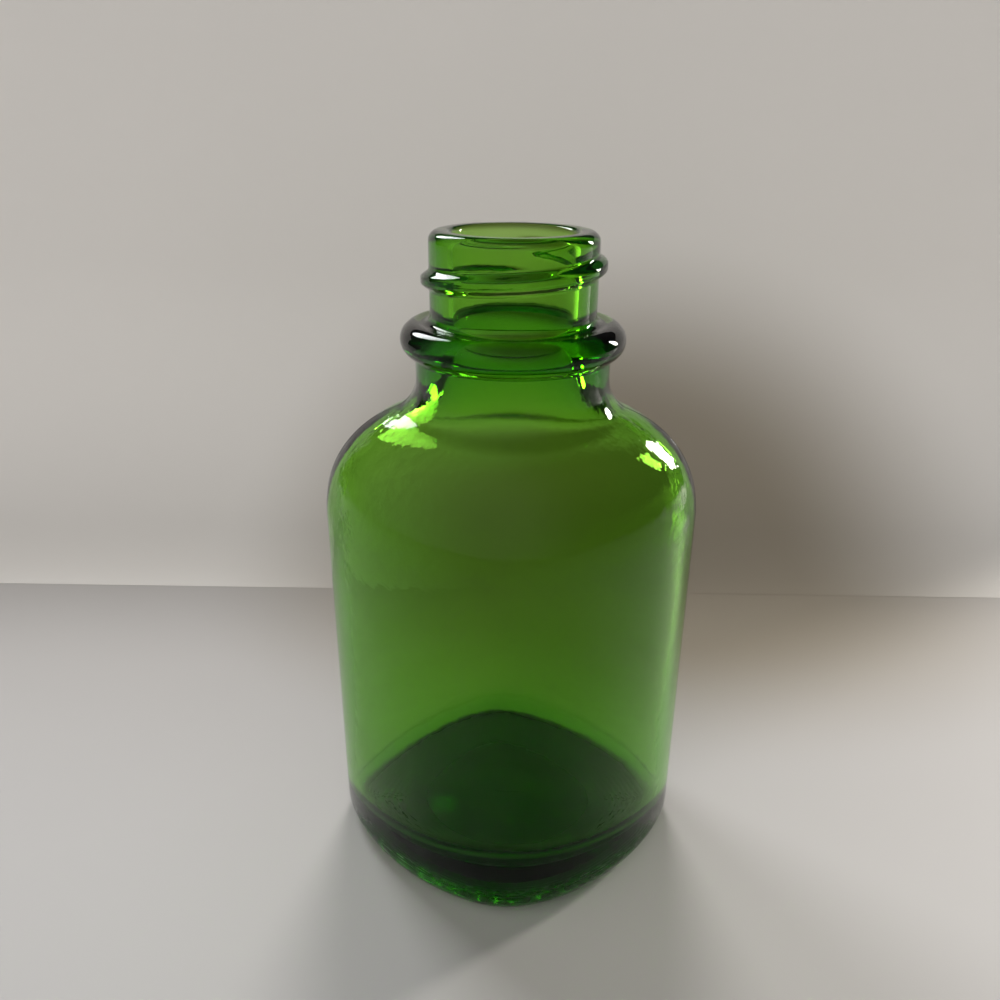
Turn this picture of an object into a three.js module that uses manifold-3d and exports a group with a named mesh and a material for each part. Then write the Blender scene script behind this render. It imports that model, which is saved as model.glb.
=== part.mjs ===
// Apothecary bottle in green glass: a soft-cornered oval body, round shoulders, a collar and a screw finish.
// The bottle is one piece of glass. It is built here as the zones a glassmaker names, stacked face to face:
// base, heel, two body halves and two shoulder halves that meet on the mould seam, neck, collar, finish, lip.
// Millimetres, +Z up. The bottle stands on the plane z = 0 with its broad face towards -Y.

import * as THREE from 'three';
import { mergeVertices } from 'three/addons/utils/BufferGeometryUtils.js';
import Module from 'manifold-3d';

// Body section
const HALF_WIDTH = 31;
const HALF_DEPTH = 27;
const CORNER_RADIUS = 5.3;
const WALL = 3;

// Base and heel
const HEEL_RADIUS = 4.5;
const BEARING_WIDTH = 6;
const PUSH_UP = 1.5;
const FLOOR_THICKNESS = 5.5;
const FLOOR_FILLET = 8;

// Body and shoulder
const BODY_WALL_HEIGHT = 50;
const SHOULDER_RADIUS = 19.5;
const NECK_FLARE = 5.5;
const OVAL_HASTE = 2;

// Neck and collar
const NECK_RADIUS = 15.2;
const NECK_HEIGHT = 3.75;
const COLLAR_REACH = 2.25;
const COLLAR_ROUND = 2.6;
const THROAT_FLARE = 15;

// Finish: threaded wall and lip
const FINISH_RADIUS = 12.8;
const FINISH_WALL = 3.5;
const FINISH_HEIGHT = 11.6;
const LIP_HEIGHT = 1.7;
const LIP_ROUND_OUTSIDE = 1.5;
const LIP_ROUND_INSIDE = 0.9;

// Thread: right-handed, upper end at the back
const THREAD_PITCH = 4.8;
const THREAD_TURNS = 1.07;
const THREAD_PROUD = 1.25;
const THREAD_HEIGHT = 3.4;
const THREAD_CREST = 1;
const THREAD_FLANK = 0.7;
const THREAD_ROOT = 0.8;
const THREAD_CLEARANCE = 0.1;
const THREAD_UPPER_END = THREE.MathUtils.degToRad(95);
const THREAD_FADE = THREE.MathUtils.degToRad(35);
const THREAD_END_SHARE = 0.15;

// Facets
const TURN_SEGMENTS = 64;
const ARC_STEPS = 6;
const THREAD_STEPS = 64;
const WELD = 1e-4;

// Heights and radii that follow from the sizes above
const boreRadius = FINISH_RADIUS - FINISH_WALL;
const heelTop = FLOOR_THICKNESS + FLOOR_FILLET;
const spring = heelTop + BODY_WALL_HEIGHT;
const shoulderCentre = HALF_WIDTH - SHOULDER_RADIUS;
const flareCentre = NECK_RADIUS + NECK_FLARE;
const shoulderTop = spring + Math.sqrt(
  (SHOULDER_RADIUS + NECK_FLARE) ** 2 - (flareCentre - shoulderCentre) ** 2,
);
const neckTop = shoulderTop + NECK_HEIGHT;
const collarRing = NECK_RADIUS + COLLAR_REACH - COLLAR_ROUND;
const collarCentre = neckTop + Math.sqrt(COLLAR_ROUND ** 2 - (NECK_RADIUS - collarRing) ** 2);
const collarTop = collarCentre + Math.sqrt(
  COLLAR_ROUND ** 2 - Math.max(0, FINISH_RADIUS - collarRing) ** 2,
);
const throatCentre = boreRadius + THROAT_FLARE;
const throatTop = spring + Math.sqrt(
  (SHOULDER_RADIUS - WALL + THROAT_FLARE) ** 2 - (throatCentre - shoulderCentre) ** 2,
);
const finishTop = collarTop + FINISH_HEIGHT;
const lipTop = finishTop + LIP_HEIGHT;

// Each ring of the bottle is a scaled copy of the body oval grown by a circle:
// P = oval * P_oval(t) + round * n(t), where t is the direction of the outward normal n.
// A wall of even thickness is a ring with a negative round.
const ring = (z, oval, round) => ({ z, oval, round });
const axisPoint = (z) => ring(z, 0, 0);
const circle = (z, radius) => ring(z, 0, radius);

// Ring of half width x on the way from a circle of radius narrow to the body oval moved in by inset.
// A haste above 1 brings the oval in early, so that the broad faces lean in steadily.
function blendRing(z, x, narrow, inset, haste = 1) {
  const share = (x - narrow) / (HALF_WIDTH - inset - narrow);
  const oval = 1 - (1 - share) ** haste;
  return ring(z, oval, x - oval * HALF_WIDTH);
}

// Radius inside finish, collar and neck: a straight bore that opens in a hollow arc below throatTop.
function boreAt(z) {
  const fall = Math.max(0, throatTop - z);
  return throatCentre - Math.sqrt(THROAT_FLARE ** 2 - fall ** 2);
}

// Rings of that inside from a high level down to a low one.
function boreRings(high, low) {
  return Array.from({ length: ARC_STEPS + 1 }, (_, i) => {
    const z = high + (low - high) * i / ARC_STEPS;
    return circle(z, boreAt(z));
  });
}

// The oval is an ellipse whose four flanks are drawn in until its two side corners have CORNER_RADIUS.
function ovalPoint(t) {
  const c = Math.cos(t);
  const s = Math.sin(t);
  const flankDraw = (HALF_DEPTH ** 2 / HALF_WIDTH - CORNER_RADIUS) / 8;
  const ellipse = Math.hypot(HALF_WIDTH * c, HALF_DEPTH * s);
  const reach = ellipse - flankDraw * (1 - Math.cos(4 * t)) / 2;
  const slope = (HALF_DEPTH ** 2 - HALF_WIDTH ** 2) * s * c / ellipse - 2 * flankDraw * Math.sin(4 * t);
  return [reach * c - slope * s, reach * s + slope * c];
}

function ringPoint(r, t) {
  const [x, y] = ovalPoint(t);
  return [r.oval * x + r.round * Math.cos(t), r.oval * y + r.round * Math.sin(t), r.z];
}

// An arc in the plane of radius and height, from one angle to the other, ends included.
function arc(centreX, centreZ, radius, from, to, steps = ARC_STEPS) {
  return Array.from({ length: steps + 1 }, (_, i) => {
    const q = from + (to - from) * i / steps;
    return [centreX + radius * Math.cos(q), centreZ + radius * Math.sin(q)];
  });
}

// Closed solid with the volume on the inner side of its faces.
function closedSolid(positions, triangles) {
  const raw = new THREE.BufferGeometry();
  raw.setAttribute('position', new THREE.Float32BufferAttribute(positions, 3));
  raw.setIndex(triangles);
  const geometry = mergeVertices(raw, WELD);
  const index = Array.from(geometry.index.array);
  const kept = [];
  for (let i = 0; i < index.length; i += 3) {
    const [a, b, c] = index.slice(i, i + 3);
    if (a !== b && b !== c && c !== a) kept.push(a, b, c);
  }
  const p = geometry.attributes.position;
  const corner = (i) => new THREE.Vector3().fromBufferAttribute(p, i);
  let volume = 0;
  for (let i = 0; i < kept.length; i += 3) {
    volume += corner(kept[i]).dot(corner(kept[i + 1]).cross(corner(kept[i + 2])));
  }
  if (volume < 0) {
    for (let i = 0; i < kept.length; i += 3) [kept[i], kept[i + 1]] = [kept[i + 1], kept[i]];
  }
  geometry.setIndex(kept);
  geometry.computeVertexNormals();
  return geometry;
}

// Carries a closed profile of rings round the axis, all the way or over part of a turn with flat ends.
function sweep(profile, from = 0, to = 2 * Math.PI, segments = TURN_SEGMENTS) {
  const whole = to - from > 2 * Math.PI - 1e-9;
  const columns = whole ? segments : segments + 1;
  const rows = profile.length;
  const positions = [];
  for (let i = 0; i < columns; i += 1) {
    const t = from + (to - from) * i / segments;
    for (const r of profile) positions.push(...ringPoint(r, t));
  }
  const triangles = [];
  for (let i = 0; i < segments; i += 1) {
    for (let j = 0; j < rows; j += 1) {
      const a = i * rows + j;
      const b = ((i + 1) % columns) * rows + j;
      const c = ((i + 1) % columns) * rows + (j + 1) % rows;
      const d = i * rows + (j + 1) % rows;
      triangles.push(a, b, c, a, c, d);
    }
  }
  if (!whole) {
    const section = profile.map((r) => new THREE.Vector2(ringPoint(r, 0)[0], r.z));
    for (const [a, b, c] of THREE.ShapeUtils.triangulateShape(section, [])) {
      const last = segments * rows;
      triangles.push(a, b, c, last + a, last + c, last + b);
    }
  }
  return closedSolid(positions, triangles);
}

// Base: bearing ring round a push-up, with the heel rounding up to the wall.
function baseGeometry() {
  const heel = arc(HALF_WIDTH - HEEL_RADIUS, HEEL_RADIUS, HEEL_RADIUS, -Math.PI / 2, 0);
  const bearingInside = HALF_WIDTH - HEEL_RADIUS - BEARING_WIDTH;
  const dome = Array.from({ length: ARC_STEPS }, (_, i) => {
    const share = i / ARC_STEPS;
    const rise = PUSH_UP * (1 + Math.cos(Math.PI * share)) / 2;
    return ring(rise, share * bearingInside / HALF_WIDTH, 0);
  });
  return sweep([
    ...dome,
    ring(0, bearingInside / HALF_WIDTH, 0),
    ...heel.map(([x, z]) => ring(z, x / HALF_WIDTH, 0)),
    axisPoint(HEEL_RADIUS),
  ]);
}

// Heel: a thick cup with the flat inner floor and the wide fillet that runs up into the wall.
function heelGeometry() {
  const insideWidth = HALF_WIDTH - WALL;
  const fillet = arc(insideWidth - FLOOR_FILLET, heelTop, FLOOR_FILLET, 0, -Math.PI / 2);
  return sweep([
    axisPoint(HEEL_RADIUS),
    ring(HEEL_RADIUS, 1, 0),
    ring(heelTop, 1, 0),
    ...fillet.map(([x, z]) => ring(z, x / insideWidth, -WALL * x / insideWidth)),
    axisPoint(FLOOR_THICKNESS),
  ]);
}

// Body: half of the upright wall, cut on the mould seam.
function bodyHalfGeometry(from, to) {
  return sweep([
    ring(heelTop, 1, 0),
    ring(spring, 1, 0),
    ring(spring, 1, -WALL),
    ring(heelTop, 1, -WALL),
  ], from, to, TURN_SEGMENTS / 2);
}

// Shoulder: a round arc that runs through a hollow flare into the neck, while the oval becomes a circle.
// Inside, the glass thickens towards the neck, because the throat is narrower than the neck's outside.
function shoulderHalfGeometry(from, to) {
  const lean = Math.atan2(shoulderTop - spring, flareCentre - shoulderCentre);
  const outside = [
    ...arc(shoulderCentre, spring, SHOULDER_RADIUS, 0, lean),
    ...arc(flareCentre, shoulderTop, NECK_FLARE, Math.PI + lean, Math.PI).slice(1),
  ].map(([x, z]) => blendRing(z, x, NECK_RADIUS, 0, OVAL_HASTE));
  const throatLean = Math.atan2(throatTop - spring, throatCentre - shoulderCentre);
  const throatEnd = Math.PI + Math.asin((throatTop - shoulderTop) / THROAT_FLARE);
  const inside = [
    ...arc(shoulderCentre, spring, SHOULDER_RADIUS - WALL, 0, throatLean),
    ...arc(throatCentre, throatTop, THROAT_FLARE, Math.PI + throatLean, throatEnd).slice(1),
  ].map(([x, z]) => blendRing(z, x, boreAt(shoulderTop), WALL));
  return sweep([...outside, ...inside.reverse()], from, to, TURN_SEGMENTS / 2);
}

// Neck: short and round, with the throat opening out towards the body.
function neckGeometry() {
  return sweep([
    circle(shoulderTop, NECK_RADIUS),
    circle(neckTop, NECK_RADIUS),
    ...boreRings(neckTop, shoulderTop),
  ]);
}

// Collar: the round bead under the finish.
function collarGeometry() {
  const lower = Math.asin((neckTop - collarCentre) / COLLAR_ROUND);
  const upper = Math.acos(Math.max(0, FINISH_RADIUS - collarRing) / COLLAR_ROUND);
  const bead = arc(collarRing, collarCentre, COLLAR_ROUND, lower, upper, 2 * ARC_STEPS);
  return sweep([
    ...bead.map(([x, z]) => circle(z, x)),
    ...boreRings(collarTop, neckTop),
  ]);
}

// Thread: one ridge on a helix, rooted in the wall and fading out at both ends.
function threadGeometry() {
  const upper = finishTop - THREAD_CLEARANCE - THREAD_HEIGHT / 2;
  const lowest = collarTop + THREAD_CLEARANCE + THREAD_HEIGHT / 2;
  const turns = Math.min(THREAD_TURNS, (upper - lowest) / THREAD_PITCH);
  const section = [
    [-THREAD_ROOT, -THREAD_HEIGHT / 2],
    [0, -THREAD_HEIGHT / 2],
    [THREAD_PROUD * THREAD_FLANK, -(THREAD_HEIGHT + THREAD_CREST) / 4],
    [THREAD_PROUD, -THREAD_CREST / 2],
    [THREAD_PROUD, THREAD_CREST / 2],
    [THREAD_PROUD * THREAD_FLANK, (THREAD_HEIGHT + THREAD_CREST) / 4],
    [0, THREAD_HEIGHT / 2],
    [-THREAD_ROOT, THREAD_HEIGHT / 2],
  ];
  const rows = section.length;
  const positions = [];
  for (let i = 0; i <= THREAD_STEPS; i += 1) {
    const along = 2 * Math.PI * turns * i / THREAD_STEPS;
    const angle = THREAD_UPPER_END - along;
    const toEnd = Math.min(along, 2 * Math.PI * turns - along);
    const grown = THREE.MathUtils.smoothstep(toEnd, 0, THREAD_FADE);
    const size = THREE.MathUtils.lerp(THREAD_END_SHARE, 1, grown);
    for (const [out, up] of section) {
      const radius = FINISH_RADIUS + (out > 0 ? out * size : out);
      const z = upper - THREAD_PITCH * along / (2 * Math.PI) + up * size;
      positions.push(radius * Math.cos(angle), radius * Math.sin(angle), z);
    }
  }
  const triangles = [];
  for (let i = 0; i < THREAD_STEPS; i += 1) {
    for (let j = 0; j < rows; j += 1) {
      const a = i * rows + j;
      const d = i * rows + (j + 1) % rows;
      triangles.push(a, a + rows, d + rows, a, d + rows, d);
    }
  }
  const last = THREAD_STEPS * rows;
  for (let j = 1; j < rows - 1; j += 1) triangles.push(0, j, j + 1, last, last + j + 1, last + j);
  return closedSolid(positions, triangles);
}

const wasm = await Module();
wasm.setup();

function toManifold(geometry) {
  return new wasm.Manifold(new wasm.Mesh({
    numProp: 3,
    vertProperties: new Float32Array(geometry.attributes.position.array),
    triVerts: new Uint32Array(geometry.index.array),
  }));
}

// Finish: the round wall with its thread in one piece.
function finishGeometry() {
  const wall = sweep([
    circle(collarTop, FINISH_RADIUS),
    circle(finishTop, FINISH_RADIUS),
    circle(finishTop, boreRadius),
    circle(collarTop, boreAt(collarTop)),
  ]);
  const joined = toManifold(wall).add(toManifold(stripped(threadGeometry()))).getMesh();
  return closedSolid(Array.from(joined.vertProperties), Array.from(joined.triVerts));
}

function stripped(geometry) {
  geometry.deleteAttribute('normal');
  return mergeVertices(geometry, WELD);
}

// Lip: rounded outside and inside, with a narrow flat land on top for a cap liner.
function lipGeometry() {
  const outerX = FINISH_RADIUS - LIP_ROUND_OUTSIDE;
  const innerX = boreRadius + LIP_ROUND_INSIDE;
  const outside = arc(outerX, lipTop - LIP_ROUND_OUTSIDE, LIP_ROUND_OUTSIDE, 0, Math.PI / 2);
  const inside = arc(innerX, lipTop - LIP_ROUND_INSIDE, LIP_ROUND_INSIDE, Math.PI / 2, Math.PI);
  return sweep([
    circle(finishTop, FINISH_RADIUS),
    ...outside.map(([x, z]) => circle(z, x)),
    ...inside.map(([x, z]) => circle(z, x)),
    circle(finishTop, boreRadius),
  ]);
}

const GLASS = { roughness: 0.06, metalness: 0, transparent: true };

function zone(name, geometry, color, opacity) {
  const mesh = new THREE.Mesh(geometry, new THREE.MeshStandardMaterial({ color, opacity, ...GLASS }));
  mesh.name = name;
  return mesh;
}

const bottle = new THREE.Group();
bottle.name = 'apothecary_bottle';
bottle.add(
  zone('base', baseGeometry(), '#145014', 0.85),
  zone('heel', heelGeometry(), '#123f12', 0.85),
  zone('body_front', bodyHalfGeometry(Math.PI, 2 * Math.PI), '#3f7a26', 0.5),
  zone('body_back', bodyHalfGeometry(0, Math.PI), '#3f7a26', 0.5),
  zone('shoulder_front', shoulderHalfGeometry(Math.PI, 2 * Math.PI), '#4b842d', 0.5),
  zone('shoulder_back', shoulderHalfGeometry(0, Math.PI), '#4b842d', 0.5),
  zone('neck', neckGeometry(), '#3a7a22', 0.6),
  zone('collar', collarGeometry(), '#1d5418', 0.75),
  zone('finish', finishGeometry(), '#37752a', 0.6),
  zone('lip', lipGeometry(), '#2a6420', 0.65),
);

export default bottle;
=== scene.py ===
# %% [markdown]
# # A green apothecary bottle
# This lesson dresses a small moulded-glass bottle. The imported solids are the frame: they fix every
# height and width. Glass hides nothing, so its inside counts as much as its outside, and the whole
# bottle is made here as one closed skin of glass with an outer and an inner wall that meet at the
# lip.

# %% Load the frame
import math

import bpy
import numpy as np
from mathutils import Matrix, Vector


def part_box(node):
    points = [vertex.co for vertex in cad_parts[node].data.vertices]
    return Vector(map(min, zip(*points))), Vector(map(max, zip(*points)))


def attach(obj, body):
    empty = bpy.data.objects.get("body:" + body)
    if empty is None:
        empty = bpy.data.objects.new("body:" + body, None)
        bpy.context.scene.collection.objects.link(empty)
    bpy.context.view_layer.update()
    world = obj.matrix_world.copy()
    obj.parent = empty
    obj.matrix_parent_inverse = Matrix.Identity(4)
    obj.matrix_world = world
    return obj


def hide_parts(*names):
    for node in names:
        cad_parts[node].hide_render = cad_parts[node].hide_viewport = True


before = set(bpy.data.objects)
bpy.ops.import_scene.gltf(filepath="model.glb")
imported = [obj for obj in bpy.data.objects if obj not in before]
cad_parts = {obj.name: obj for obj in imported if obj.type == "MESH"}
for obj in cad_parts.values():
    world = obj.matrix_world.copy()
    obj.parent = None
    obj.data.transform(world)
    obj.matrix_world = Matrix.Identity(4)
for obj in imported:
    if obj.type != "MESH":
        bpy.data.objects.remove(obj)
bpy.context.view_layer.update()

# %% [markdown]
# ## Sizes
# The heights of the zones and the outer radii are read from the boxes of the solids. A box says
# nothing about what lies inside, so the wall, the fillets and the roundings are named here, in
# metres, as the solids have them. One thing is added inside: blown glass is thicker low down, so the
# broad faces grow from the wall to the face wall on the way.

# %% Read the sizes
MM = 0.001


def zone_top(node):
    """Height of the upper end of a zone of the bottle."""
    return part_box(node)[1].z


def zone_reach(node):
    """Largest distance of a round zone from the axis."""
    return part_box(node)[1].x


half_width = zone_reach("body_front")
half_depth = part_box("body_back")[1].y
heel_radius = zone_top("base")
spring = zone_top("body_front")
shoulder_top = zone_top("shoulder_front")
neck_top = zone_top("neck")
collar_top = zone_top("collar")
finish_top = zone_top("finish")
lip_top = zone_top("lip")
neck_radius = zone_reach("neck")
collar_radius = zone_reach("collar")
finish_radius = zone_reach("lip")
thread_radius = zone_reach("finish")

corner_radius = 5.3 * MM
wall = 3 * MM
face_wall = 4.5 * MM
finish_wall = 3.5 * MM
floor_thickness = 5.5 * MM
push_up = 1.5 * MM
bearing_width = 6 * MM
shoulder_radius = 19.5 * MM
oval_haste = 2
neck_flare = 5.5 * MM
throat_flare = 15 * MM
collar_round = 2.6 * MM
lip_round_outside = 1.5 * MM
lip_round_inside = 0.9 * MM
bore_radius = finish_radius - finish_wall
overall = (2 * half_width, 2 * half_depth, lip_top)
print("width, depth and height in mm:", [round(1000 * size, 2) for size in overall])

# %% [markdown]
# ## The oval
# Seen from above the body is neither an ellipse nor a rectangle: broad curved faces meet in two
# soft corners at the sides. A support function describes it: for each direction of the outward
# normal it says how far the edge reaches. An offset of such a shape is only an addition, so the
# inner wall comes out evenly thick.

# %% The oval as a function of its normal
COLUMNS = 288
turn = np.linspace(0, 2 * np.pi, COLUMNS, endpoint=False)


def oval_points(t):
    """Edge points by normal angle t: reach of an ellipse less draw * (1 - cos 4t) / 2, turned into points."""
    c, s = np.cos(t), np.sin(t)
    draw = (half_depth ** 2 / half_width - corner_radius) / 8
    ellipse = np.hypot(half_width * c, half_depth * s)
    reach = ellipse - draw * (1 - np.cos(4 * t)) / 2
    slope = (half_depth ** 2 - half_width ** 2) * s * c / ellipse - 2 * draw * np.sin(4 * t)
    return reach * c - slope * s, reach * s + slope * c


def rings_to_grid(rings, t):
    """Ring (height, oval, round) to points oval * oval_points(t) + round * (cos t, sin t) at that height."""
    height, oval, around = (column[:, None] for column in rings.T)
    x, y = oval_points(t)
    across = oval * x + around * np.cos(t)
    along = oval * y + around * np.sin(t)
    return np.stack([across, along, np.broadcast_to(height, across.shape)], axis=-1)


corner = np.hypot(*oval_points(np.radians(45)))
print("the oval reaches", round(1000 * float(corner), 2), "mm where its normal is half way to the front")

# %% [markdown]
# ## The meridian
# A glassmaker draws a bottle as one line from the middle of the base, up the outside, over the lip
# and down the inside. The helpers below make stretches of that line as rows of rings. An arc is a
# centre, a radius and two angles. Where the body is oval, the ring is a scaled oval, and where it
# is round, it is a circle. The shoulder blends the two. Outside it takes on the oval early (haste),
# which keeps its broad faces leaning in steadily.

# %% Stretches of the meridian


def arc(centre_x, centre_z, radius, start, end, rows):
    """Points on a circle about a centre, at even angles from start to end."""
    q = np.linspace(start, end, rows)
    return centre_x + radius * np.cos(q), centre_z + radius * np.sin(q)


def scaled_rings(x, z):
    """Rings that are the oval scaled so that its half width is x."""
    return np.stack([z, x / half_width, np.zeros_like(z)], axis=1)


def upright_rings(z):
    """Rings of the upright wall, the oval itself."""
    return np.stack([z, np.ones_like(z), np.zeros_like(z)], axis=1)


def shoulder_rings(x, z, narrow, inset=0.0, haste=1):
    """Rings of half width x between a circle and the inset oval, whose share is 1 - (1 - u)^haste."""
    u = np.clip((x - narrow) / (half_width - inset - narrow), 0, 1)
    oval = 1 - (1 - u) ** haste
    return np.stack([z, oval, x - oval * half_width], axis=1)


def round_rings(x, z):
    """Circles of radius x at height z."""
    return np.stack([z, np.zeros_like(z), x], axis=1)


# %% [markdown]
# ## The outside
# From the middle of the base: a shallow push-up, the standing ring, the round heel, the upright
# wall, the shoulder and its flare, the neck, the collar with small hollow fillets, the finish and
# the lip. The fillets are not in the solids. They are where hot glass never fills a sharp corner.

# %% The outer meridian
bearing_out = half_width - heel_radius
bearing_in = bearing_out - bearing_width
shoulder_centre = half_width - shoulder_radius
flare_centre = neck_radius + neck_flare
lean = math.atan2(shoulder_top - spring, flare_centre - shoulder_centre)
collar_ring = collar_radius - collar_round
collar_middle = neck_top + math.sqrt(collar_round ** 2 - (neck_radius - collar_ring) ** 2)

FILLET_BELOW = 0.8 * MM
FILLET_ABOVE = 1.1 * MM


def fillet_beside_bead(wall_x, fillet, above):
    """Hollow arc that touches an upright wall and the collar bead: its centre lies a fillet off both."""
    side = 1 if above else -1
    centre_x = wall_x + fillet
    rise = math.sqrt((collar_round + fillet) ** 2 - (centre_x - collar_ring) ** 2)
    centre_z = collar_middle + side * rise
    return centre_x, centre_z


low_x, low_z = fillet_beside_bead(neck_radius, FILLET_BELOW, above=False)
high_x, high_z = fillet_beside_bead(finish_radius, FILLET_ABOVE, above=True)
bead_start = math.atan2(low_z - collar_middle, low_x - collar_ring)
bead_end = math.atan2(high_z - collar_middle, high_x - collar_ring)

KNURL_WIDTH = 11 * MM
KNURL_RIDGES = 10


def bottom_rings(x):
    """Rings under the base: a push-up that falls as half a cosine wave to the standing ring, then flat."""
    share = np.clip(x / bearing_in, 0, 1)
    return scaled_rings(x, push_up * (1 + np.cos(np.pi * share)) / 2)


knurl_in = bearing_out - KNURL_WIDTH
push = bottom_rings(np.linspace(0.02, 1, 9) * knurl_in)
knurl = bottom_rings(np.linspace(knurl_in, bearing_out, 6 * KNURL_RIDGES + 1)[1:])
heel = scaled_rings(*arc(bearing_out, heel_radius, heel_radius, -np.pi / 2, 0, 12))[1:]
body = upright_rings(np.linspace(heel_radius, spring, 18)[1:])
shoulder_line = arc(shoulder_centre, spring, shoulder_radius, 0, lean, 22)
round_shoulder = shoulder_rings(*shoulder_line, neck_radius, haste=oval_haste)[1:]
flare_line = arc(flare_centre, shoulder_top, neck_flare, np.pi + lean, np.pi, 10)
flare = shoulder_rings(*flare_line, neck_radius, haste=oval_haste)[1:]
neck_z = np.linspace(shoulder_top, low_z, 4)[1:]
neck = round_rings(np.full_like(neck_z, neck_radius), neck_z)
below = round_rings(*arc(low_x, low_z, FILLET_BELOW, np.pi, bead_start + np.pi, 6))[1:]
bead = round_rings(*arc(collar_ring, collar_middle, collar_round, bead_start, bead_end, 20))[1:]
above = round_rings(*arc(high_x, high_z, FILLET_ABOVE, bead_end + np.pi, np.pi, 7))[1:]
finish_z = np.linspace(high_z, lip_top - lip_round_outside, 46)[1:]
finish = round_rings(np.full_like(finish_z, finish_radius), finish_z)
lip_out_x = finish_radius - lip_round_outside
lip_out = round_rings(*arc(lip_out_x, lip_top - lip_round_outside, lip_round_outside, 0, np.pi / 2, 9))[1:]
outside = np.concatenate(
    [push, knurl, heel, body, round_shoulder, flare, neck, below, bead, above, finish, lip_out]
)
print("outer meridian has", len(outside), "rings")

# %% [markdown]
# ## The inside
# A blown bottle is smooth inside. The bore runs down through the collar and opens under it, and the
# shoulder follows the outside at the thickness of the glass. The broad faces thicken on the way
# down, and a fillet that is widest at the front turns into the thick floor.

# %% The inner meridian
FILLET_FRONT = 9 * MM
FILLET_BACK = 5 * MM
FILLET_SIDE = 2 * MM
FLOOR_DOME = 0.3 * MM
lip_in_x = bore_radius + lip_round_inside
lip_in = round_rings(*arc(lip_in_x, lip_top - lip_round_inside, lip_round_inside, np.pi / 2, np.pi, 7))
throat_centre = bore_radius + throat_flare
inner_shoulder = shoulder_radius - wall
throat_rise = math.sqrt((inner_shoulder + throat_flare) ** 2 - (throat_centre - shoulder_centre) ** 2)
throat_top = spring + throat_rise
throat_lean = math.atan2(throat_rise, throat_centre - shoulder_centre)
bore_z = np.linspace(lip_top - lip_round_inside, throat_top, 12)[1:]
bore = round_rings(np.full_like(bore_z, bore_radius), bore_z)
throat_line = arc(throat_centre, throat_top, throat_flare, np.pi, np.pi + throat_lean, 26)
throat = shoulder_rings(*throat_line, bore_radius, wall)[1:]
inner_line = arc(shoulder_centre, spring, inner_shoulder, throat_lean, 0, 18)
inner_round = shoulder_rings(*inner_line, bore_radius, wall)[1:]
inside = np.concatenate([lip_in, bore, throat, inner_round])
print("inner meridian has", len(inside), "rings down to the spring of the shoulder")


def wall_to_floor(t):
    """Grid from the spring down: wall, fillet whose radius grows with sin(t)^2, and domed floor."""
    down = np.linspace(0, 1, 16)[1:, None]
    q = np.linspace(0, np.pi / 2, 14)[1:, None]
    inward = np.linspace(1, 0.02, 16)[1:, None]
    x, y = oval_points(t)
    x = x - wall * np.cos(t)
    swell = (1 - np.cos(np.pi * down)) / 2
    wall_y = y - (wall + (face_wall - wall) * swell) * np.sin(t)
    y = y - face_wall * np.sin(t)
    reach = np.hypot(x, y)
    widest = np.where(np.sin(t) < 0, FILLET_FRONT, FILLET_BACK)
    fillet = FILLET_SIDE + (widest - FILLET_SIDE) * np.sin(t) ** 2
    share = np.concatenate([1 - fillet * (1 - np.cos(q)) / reach, inward * (1 - fillet / reach)])
    wall_z = spring + (floor_thickness + fillet - spring) * down
    fillet_z = floor_thickness + fillet * (1 - np.sin(q))
    floor_z = floor_thickness + FLOOR_DOME * (1 - inward ** 2) ** 2 + 0 * t
    across = np.concatenate([x + 0 * down, share * x])
    along = np.concatenate([wall_y, share * y])
    return np.stack([across, along, np.concatenate([wall_z, fillet_z, floor_z])], axis=-1)


# %% [markdown]
# ## The thread
# One ridge climbs round the finish like a ramp. It is worked out as a height above the wall: for
# each point the nearest turn of the helix gives a distance along the axis, and a smooth hump of
# that distance lifts the glass. The ridge fades out at both ends, as the cut in the mould does.

# %% Thread lift
THREAD_PITCH = 4.8 * MM
THREAD_TURNS = 1.07
THREAD_HEIGHT = 3.4 * MM
THREAD_FLAT = 0.25
THREAD_UPPER_END = math.radians(95)
THREAD_FADE = math.radians(35)
THREAD_CLEARANCE = 0.1 * MM
thread_proud = thread_radius - finish_radius


def smooth_step(x):
    """0 below 0, 1 above 1, and 3x^2 - 2x^3 between."""
    x = np.clip(x, 0, 1)
    return x * x * (3 - 2 * x)


def thread_lift(t, z):
    """Height of the ridge at angle t and height z: the largest hump of the turns of a falling helix."""
    upper = finish_top - THREAD_CLEARANCE - THREAD_HEIGHT / 2
    length = 2 * np.pi * THREAD_TURNS
    lift = np.zeros(np.broadcast(t, z).shape)
    for lap in range(math.ceil(THREAD_TURNS)):
        along = np.mod(THREAD_UPPER_END - t, 2 * np.pi) + 2 * np.pi * lap
        size = smooth_step(np.minimum(along, length - along) / THREAD_FADE)
        off = np.abs(z - upper + THREAD_PITCH * along / (2 * np.pi)) / (THREAD_HEIGHT / 2)
        hump = 1 - smooth_step((off - THREAD_FLAT) / (1 - THREAD_FLAT))
        lift = np.maximum(lift, thread_proud * size * hump)
    return lift


# %% [markdown]
# ## Small faults of moulded glass
# Real bottle glass is never optically flat. The mould chills the outside into faint ripples, the
# air-blown inside swells and thins in slow waves, and the two halves of the mould leave a hair
# line. Broken ridges run round the standing ring, so that the hot bottle doesn't stick, and they
# fade toward the back. All of it is geometry, because glass shows shape by bending what is behind
# it.

# %% Surface relief
rng = np.random.default_rng(7)


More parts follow.
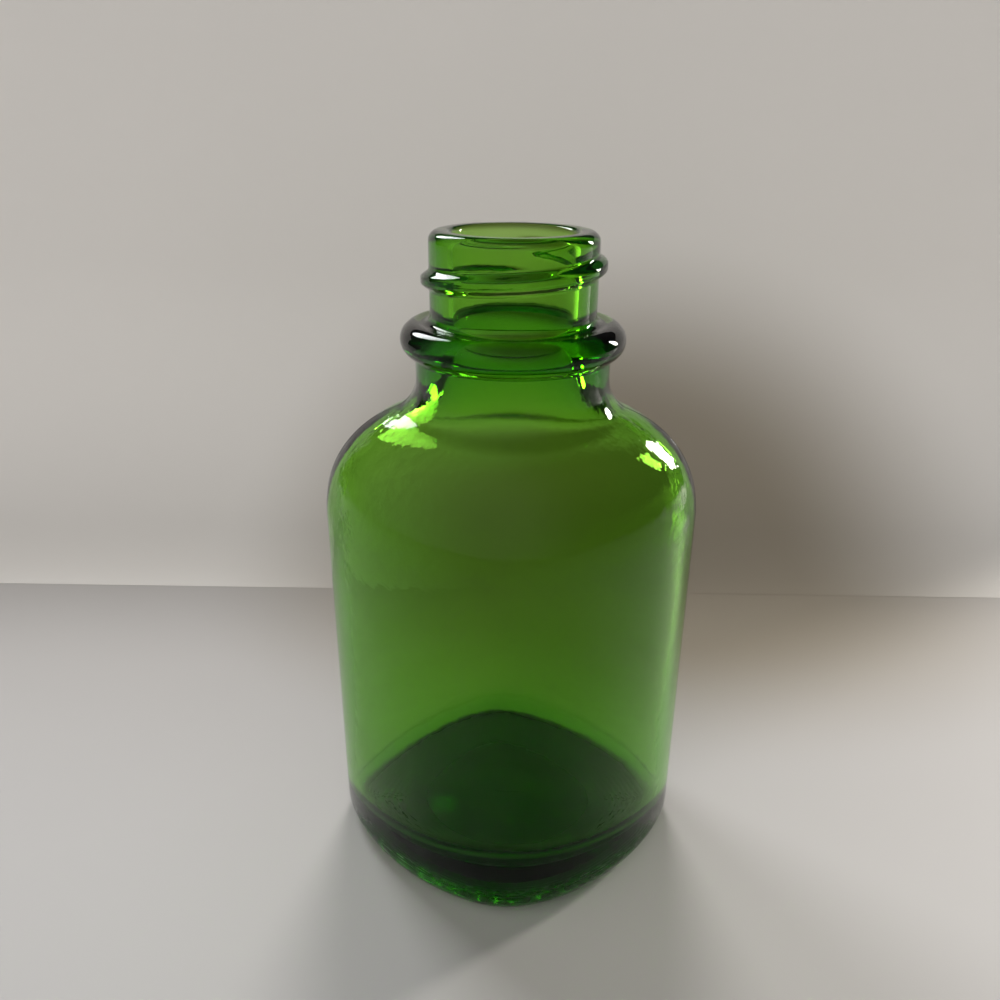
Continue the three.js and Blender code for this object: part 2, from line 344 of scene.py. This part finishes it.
def slow_waves(t, z, count, laps, per_metre):
    """Sum of random sine waves round and up the bottle, scaled to about one."""
    k = rng.integers(0, laps + 1, count)
    m = rng.uniform(-per_metre, per_metre, count)
    phase = rng.uniform(0, 2 * np.pi, count)
    waves = np.sin(k[:, None, None] * t + m[:, None, None] * z + phase[:, None, None])
    return waves.sum(axis=0) / math.sqrt(count)


OUTER_RIPPLE = 0.012 * MM
INNER_SWELL = 0.10 * MM
FLOOR_RIPPLE = 0.05 * MM
SEAM_HEIGHT = 0.07 * MM
SEAM_WIDTH = 0.012

t = turn[None, :]
outer_grid = rings_to_grid(outside, turn)
inner_grid = np.concatenate([rings_to_grid(inside, turn), wall_to_floor(turn)])
outer_z = outer_grid[..., 2]
inner_z = inner_grid[..., 2]

seam_angle = np.minimum(np.abs(np.sin(t / 2)), np.abs(np.cos(t / 2)))
seam = SEAM_HEIGHT * np.exp(-((2 * seam_angle / SEAM_WIDTH) ** 2))
seam_zone = smooth_step((outer_z - heel_radius) / (5 * MM)) * smooth_step((collar_top - outer_z) / (3 * MM))
outer_lift = OUTER_RIPPLE * slow_waves(t, outer_z, 10, 9, 350)
outer_lift = outer_lift + seam * seam_zone

KNURL_HEIGHT = 0.28 * MM
across_knurl = (np.arange(len(outside))[:, None] - len(push) + 1) / len(knurl)
on_knurl = (across_knurl >= 0) & (across_knurl <= 1)
ridge_turn = 2 * np.pi * KNURL_RIDGES * across_knurl + 0.8 * np.sin(7 * t)
ridges = (1 - np.cos(ridge_turn)) / 2
ridge_number = np.round(KNURL_RIDGES * across_knurl)
front = smooth_step((1 - np.sin(t)) / 1.5)
dashes = smooth_step(0.75 + 0.8 * np.sin(37 * t + 2.4 * ridge_number) * np.sin(5 * t + 1))
knurl_depth = KNURL_HEIGHT * ridges * dashes * smooth_step(2 * across_knurl) * front
outer_lift = outer_lift - np.where(on_knurl, knurl_depth, 0)

below_neck = smooth_step((neck_top - inner_z) / (15 * MM))
above_floor = smooth_step((inner_z - floor_thickness + MM) / (6 * MM))
inner_lift = INNER_SWELL * below_neck * above_floor * slow_waves(t, inner_z, 12, 5, 120)
floor_zone = 1 - smooth_step((inner_z - floor_thickness - FLOOR_DOME) / (2 * MM))
heading = rng.uniform(0, 2 * np.pi, (12, 1, 1))
per_metre = rng.uniform(300, 900, (12, 1, 1))
crossing = inner_grid[..., 0] * np.cos(heading) + inner_grid[..., 1] * np.sin(heading)
floor_waves = np.sin(per_metre * crossing + 2 * heading).sum(axis=0) / math.sqrt(12)
inner_lift = inner_lift + FLOOR_RIPPLE * floor_zone * floor_waves


def outward(grid):
    """Unit normals of a closed-round grid: cross product of its steps round and along, by whole arrays."""
    round_step = np.roll(grid, -1, axis=1) - np.roll(grid, 1, axis=1)
    along_step = np.gradient(grid, axis=0)
    normal = np.cross(round_step, along_step)
    return normal / np.linalg.norm(normal, axis=-1, keepdims=True)


outer_grid = outer_grid + outward(outer_grid) * outer_lift[..., None]
inner_grid = inner_grid + outward(inner_grid) * inner_lift[..., None]
on_finish = (outer_z > collar_top - MM) & (outer_z < finish_top + MM)
ridge = np.where(on_finish, thread_lift(t, outer_z), 0)
outer_grid[..., 0] += ridge * np.cos(t)
outer_grid[..., 1] += ridge * np.sin(t)
print("thread stands", round(1000 * float(ridge.max()), 2), "mm proud")

# %% [markdown]
# ## One skin of glass
# The two grids are stacked into one, with a single point at each pole, so the bottle is one closed
# surface: outside, lip and inside. A ray that enters the glass always finds the way out, which is
# what the colour in depth needs.

# %% Build the bottle


def closed_skin(name, grid, first_pole, last_pole):
    """Mesh from a grid that runs round in columns: quads between rows, a fan of triangles at each pole."""
    rows, columns = grid.shape[:2]
    points = np.concatenate([grid.reshape(-1, 3), [first_pole, last_pole]])
    index = np.arange(rows * columns).reshape(rows, columns)
    beside = np.roll(index, -1, axis=1)
    quads = np.stack([index[:-1], beside[:-1], beside[1:], index[1:]], axis=-1).reshape(-1, 4)
    first = np.full(columns, rows * columns)
    fans = np.concatenate([
        np.stack([first, beside[0], index[0]], axis=-1),
        np.stack([first + 1, index[-1], beside[-1]], axis=-1),
    ])
    mesh = bpy.data.meshes.new(name)
    mesh.from_pydata(points.tolist(), [], quads.tolist() + fans.tolist())
    mesh.polygons.foreach_set("use_smooth", np.ones(len(mesh.polygons), dtype=bool))
    mesh.update()
    piece = bpy.data.objects.new(name, mesh)
    bpy.context.scene.collection.objects.link(piece)
    return piece


bottle = closed_skin(
    "bottle_glass",
    np.concatenate([outer_grid, inner_grid]),
    (0, 0, push_up),
    (0, 0, floor_thickness + FLOOR_DOME),
)
print("bottle skin:", len(bottle.data.vertices), "points,", len(bottle.data.polygons), "faces")

# %% [markdown]
# ## Green glass
# The colour of bottle glass is in its depth, not on its face: a thin wall is pale and a thick base
# nearly black. So the surface is clear and a volume soaks up red and blue on the way. The face
# itself carries fine scuffs and a very soft ripple left by the mould, stronger on the sides of the
# shoulder, and the standing ring is worn dull. The mirror is toned down, because a pale floor would
# veil the green.

# %% Glass material
PEEL_EVEN = 0.05
PEEL_SHOULDER = 0.35
RING_WEAR = 0.4
MIRROR = 0.2


def node(tree, kind, **sockets):
    """A shader node of that kind with the named input sockets set."""
    made = tree.nodes.new(kind)
    for socket, value in sockets.items():
        made.inputs[socket.replace("_", " ")].default_value = value
    return made


def green_glass():
    """Clear face over an absorbing volume, with noise for scuffs in roughness and for ripple in bump."""
    material = bpy.data.materials.new("green_glass")
    material.use_nodes = True
    tree = material.node_tree
    tree.nodes.clear()
    out = tree.nodes.new("ShaderNodeOutputMaterial")
    face = node(tree, "ShaderNodeBsdfPrincipled", Base_Color=(1, 1, 1, 1), IOR=1.52, Transmission_Weight=1.0)
    face.inputs["Specular Tint"].default_value = (MIRROR, MIRROR, MIRROR, 1)
    depth = node(tree, "ShaderNodeVolumeAbsorption", Color=(0.506, 0.813, 0.0, 1), Density=470.0)
    place = tree.nodes.new("ShaderNodeTexCoord")
    scuff = node(tree, "ShaderNodeTexNoise", Scale=160.0, Detail=6.0, Roughness=0.7)
    scuff_range = node(tree, "ShaderNodeMapRange", From_Min=0.62, From_Max=0.85, To_Min=0.002, To_Max=0.06)
    ripple = node(tree, "ShaderNodeTexNoise", Scale=55.0, Detail=2.0)
    bump = node(tree, "ShaderNodeBump", Strength=0.05, Distance=0.001)
    grain = node(tree, "ShaderNodeTexNoise", Scale=520.0, Detail=2.0)
    orange = node(tree, "ShaderNodeBump", Distance=0.0003)
    amount = tree.nodes.new("ShaderNodeAttribute")
    amount.attribute_name = "peel"
    wear = tree.nodes.new("ShaderNodeAttribute")
    wear.attribute_name = "wear"
    rough = node(tree, "ShaderNodeMath")
    links = tree.links
    links.new(place.outputs["Object"], scuff.inputs["Vector"])
    links.new(scuff.outputs["Fac"], scuff_range.inputs["Value"])
    links.new(scuff_range.outputs["Result"], rough.inputs[0])
    links.new(wear.outputs["Fac"], rough.inputs[1])
    links.new(rough.outputs["Value"], face.inputs["Roughness"])
    links.new(place.outputs["Object"], ripple.inputs["Vector"])
    links.new(ripple.outputs["Fac"], bump.inputs["Height"])
    links.new(place.outputs["Object"], grain.inputs["Vector"])
    links.new(grain.outputs["Fac"], orange.inputs["Height"])
    links.new(amount.outputs["Fac"], orange.inputs["Strength"])
    links.new(bump.outputs["Normal"], orange.inputs["Normal"])
    links.new(orange.outputs["Normal"], face.inputs["Normal"])
    links.new(face.outputs["BSDF"], out.inputs["Surface"])
    links.new(depth.outputs["Volume"], out.inputs["Volume"])
    return material


peel = bottle.data.attributes.new("peel", "FLOAT", "POINT")
around = np.concatenate([np.tile(np.cos(turn) ** 2, len(outer_grid)), np.zeros(inner_z.size + 2)])
climb = np.concatenate([outer_z.ravel(), np.zeros(inner_z.size + 2)])
over_spring = smooth_step((climb - spring + 12 * MM) / (14 * MM))
under_neck = smooth_step((shoulder_top + 4 * MM - climb) / (8 * MM))
peel.data.foreach_set("value", (PEEL_EVEN + PEEL_SHOULDER * over_spring * under_neck * around) * (climb > 0))
wear = bottle.data.attributes.new("wear", "FLOAT", "POINT")
on_ring = np.broadcast_to(on_knurl, outer_z.shape)
wear.data.foreach_set("value", np.concatenate([(RING_WEAR * on_ring).ravel(), np.zeros(inner_z.size + 2)]))
bottle.data.materials.append(green_glass())
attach(bottle, "root")
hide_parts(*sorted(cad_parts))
print("glass rides on root and stands for", len(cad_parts), "solids")

# %% [markdown]
# ## Floor and backdrop
# A pale sheet lies under the bottle, and a low pale board behind it curves up from the sheet. Both
# cards carry a painted shadow: they darken softly about one spot at the foot of the board, a little
# right of the bottle. Clear glass shows only what is behind it, so a pale card alone would make it
# look thin. This painted shade is in the colour of the cards, and the light stays plain.

# %% Stage
# Painted shadow: SHADE is the dark colour both cards take about the foot of the board, right of the bottle.
BOARD_FOOT = 0.085
SHADE_X = 0.038
SHADE = (0.32, 0.28, 0.22)
SHADE_NEAR = 0.4
SHADE_FAR = 1.2
LEFT_OUT = 1000.0


def paper(name, colour, reach):
    """Cloudy matt card with painted shade: SHADE to its colour by the length of (place - foot of board) /
    reach.
    """
    material = bpy.data.materials.new(name)
    material.use_nodes = True
    tree = material.node_tree
    face = tree.nodes["Principled BSDF"]
    face.inputs["Roughness"].default_value = 0.55
    place = tree.nodes.new("ShaderNodeTexCoord")
    spot = node(tree, "ShaderNodeMapping", Location=(SHADE_X, BOARD_FOOT, 0), Scale=reach)
    spot.vector_type = "TEXTURE"
    away = tree.nodes.new("ShaderNodeVectorMath")
    away.operation = "LENGTH"
    fade = node(tree, "ShaderNodeMapRange", From_Min=SHADE_NEAR, From_Max=SHADE_FAR)
    fade.interpolation_type = "SMOOTHSTEP"
    shade = node(tree, "ShaderNodeMix")
    shade.data_type = "RGBA"
    shade.inputs["A"].default_value = (*SHADE, 1)
    shade.inputs["B"].default_value = (*colour, 1)
    cloud = node(tree, "ShaderNodeTexNoise", Scale=9.0, Detail=3.0)
    tone = node(tree, "ShaderNodeMapRange", To_Min=0.94, To_Max=1.0)
    cloudy = tree.nodes.new("ShaderNodeVectorMath")
    cloudy.operation = "SCALE"
    tree.links.new(place.outputs["Object"], spot.inputs["Vector"])
    tree.links.new(spot.outputs["Vector"], away.inputs[0])
    tree.links.new(away.outputs["Value"], fade.inputs["Value"])
    tree.links.new(fade.outputs["Result"], shade.inputs["Factor"])
    tree.links.new(place.outputs["Object"], cloud.inputs["Vector"])
    tree.links.new(cloud.outputs["Fac"], tone.inputs["Value"])
    tree.links.new(shade.outputs["Result"], cloudy.inputs[0])
    tree.links.new(tone.outputs["Result"], cloudy.inputs["Scale"])
    tree.links.new(cloudy.outputs["Vector"], face.inputs["Base Color"])
    return material


def sheet_along_x(name, half_span, y, z):
    """Sheet that carries a profile of points (y, z) along X, over a span centred on the bottle."""
    left = np.stack([np.full_like(y, -half_span), y, z], axis=-1)
    right = np.stack([np.full_like(y, half_span), y, z], axis=-1)
    i = np.arange(len(y) - 1)
    faces = np.stack([i, i + len(y), i + 1 + len(y), i + 1], axis=-1)
    mesh = bpy.data.meshes.new(name)
    mesh.from_pydata(np.concatenate([left, right]).tolist(), [], faces.tolist())
    mesh.polygons.foreach_set("use_smooth", np.ones(len(mesh.polygons), dtype=bool))
    sheet = bpy.data.objects.new(name, mesh)
    bpy.context.scene.collection.objects.link(sheet)
    return sheet


BOARD_BEND = 0.08
BOARD_HEIGHT = 0.17
bend = np.linspace(0, np.pi / 2, 24)
board_y = np.append(BOARD_FOOT + BOARD_BEND * np.sin(bend), BOARD_FOOT + BOARD_BEND)
board_z = np.append(BOARD_BEND * (1 - np.cos(bend)), BOARD_HEIGHT)
floor_card = paper("floor_card", (0.53, 0.515, 0.505), (0.11, 0.065, LEFT_OUT))
board_card = paper("board_card", (0.88, 0.86, 0.83), (0.11, LEFT_OUT, 0.078))
FLOOR_GAP = 0.05 * MM
floor = sheet_along_x("floor_sheet", 1.5, np.array([-1.5, 1.5]), np.full(2, -FLOOR_GAP))
board = sheet_along_x("back_board", 0.25, board_y, board_z)
floor.data.materials.append(floor_card)
board.data.materials.append(board_card)
print("board foot and height in mm:", round(1000 * BOARD_FOOT), round(1000 * BOARD_HEIGHT))

# %% [markdown]
# ## Light
# Two soft windows, one behind each shoulder, draw the highlights. A ceiling lamp draws the shadow in
# front. It hangs so far back that the board keeps its own foot dim, and it is hidden from the glass,
# where it would leave a square spot on the inner floor. The rest is the room: a broad glow from the
# front left that fades without an edge, because clear glass would mirror the edge of any large lamp
# there.

# %% Lamps and world


def soft_lamp(name, place, target, size, power, colour):
    """Elliptical area lamp at a place, facing a target."""
    data = bpy.data.lights.new(name, "AREA")
    data.shape = "ELLIPSE"
    data.size, data.size_y = size
    data.energy = power
    data.color = colour
    lamp = bpy.data.objects.new(name, data)
    bpy.context.scene.collection.objects.link(lamp)
    aim = Vector(target) - Vector(place)
    lamp.matrix_world = Matrix.Translation(place) @ aim.to_track_quat("-Z", "Y").to_matrix().to_4x4()
    return lamp


middle = (0, 0, lip_top / 2)
soft_lamp("window_right", (0.84, 0.54, 0.33), middle, (0.12, 0.34), 7.0, (1.0, 0.95, 0.88))
soft_lamp("window_left", (-0.46, 0.55, 0.62), middle, (0.30, 0.45), 4.5, (0.96, 0.98, 1.0))
ceiling_lamp = soft_lamp("ceiling_lamp", (0.0, 0.45, 0.76), middle, (0.22, 0.22), 3.2, (1.0, 0.98, 0.95))
ceiling_lamp.visible_glossy = False
ceiling_lamp.visible_transmission = False

ROOM_DIM = 0.04
ROOM_BRIGHT = 0.95
ROOM_FROM = (-0.45, -0.85, 0.27)


def glowing_room():
    """World whose strength rises smoothly with the cosine between a direction and ROOM_FROM."""
    world = bpy.data.worlds.new("room")
    world.use_nodes = True
    tree = world.node_tree
    room = tree.nodes["Background"]
    room.inputs["Color"].default_value = (1.0, 0.97, 0.94, 1)
    sky = tree.nodes.new("ShaderNodeTexCoord")
    toward = tree.nodes.new("ShaderNodeVectorMath")
    toward.operation = "DOT_PRODUCT"
    toward.inputs[1].default_value = ROOM_FROM
    glow = node(tree, "ShaderNodeMapRange", To_Min=ROOM_DIM, To_Max=ROOM_BRIGHT)
    glow.interpolation_type = "SMOOTHSTEP"
    tree.links.new(sky.outputs["Generated"], toward.inputs[0])
    tree.links.new(toward.outputs["Value"], glow.inputs["Value"])
    tree.links.new(glow.outputs["Result"], room.inputs["Strength"])
    return world


bpy.context.scene.world = glowing_room()

# %% [markdown]
# ## Camera
# The camera stands close, a little above the lip, and looks down. Its place, lens and tilt were
# worked out from the bottle's outline.

# %% Camera
CAMERA_PLACE = (0.0, -0.13171, 0.12264)
LENS = 30.816
PITCH = math.radians(23.47)
YAW = math.radians(-0.79)
ROLL = math.radians(0.45)


def camera_axes(pitch, yaw, roll):
    """Right, up and backward axes of a camera that looks along +Y, tips down, turns and rolls."""
    forward = Vector((math.sin(yaw) * math.cos(pitch), math.cos(yaw) * math.cos(pitch), -math.sin(pitch)))
    level = Vector((math.cos(yaw), -math.sin(yaw), 0))
    upright = level.cross(forward)
    right = math.cos(roll) * level + math.sin(roll) * upright
    up = math.cos(roll) * upright - math.sin(roll) * level
    return right, up, -forward


camera_data = bpy.data.cameras.new("camera")
camera_data.lens = LENS
camera_data.clip_start = 0.01
camera = bpy.data.objects.new("camera", camera_data)
bpy.context.scene.collection.objects.link(camera)
turned = Matrix(camera_axes(PITCH, YAW, ROLL)).transposed().to_4x4()
camera.matrix_world = Matrix.Translation(CAMERA_PLACE) @ turned
bpy.context.scene.camera = camera
print("camera to bottle in mm:", round(1000 * (Vector(CAMERA_PLACE) - Vector(middle)).length))
bpy.context.scene.view_settings.view_transform = "Standard"
bpy.context.scene.cycles.max_bounces = 24
bpy.context.scene.cycles.glossy_bounces = 16
bpy.context.scene.cycles.transmission_bounces = 24
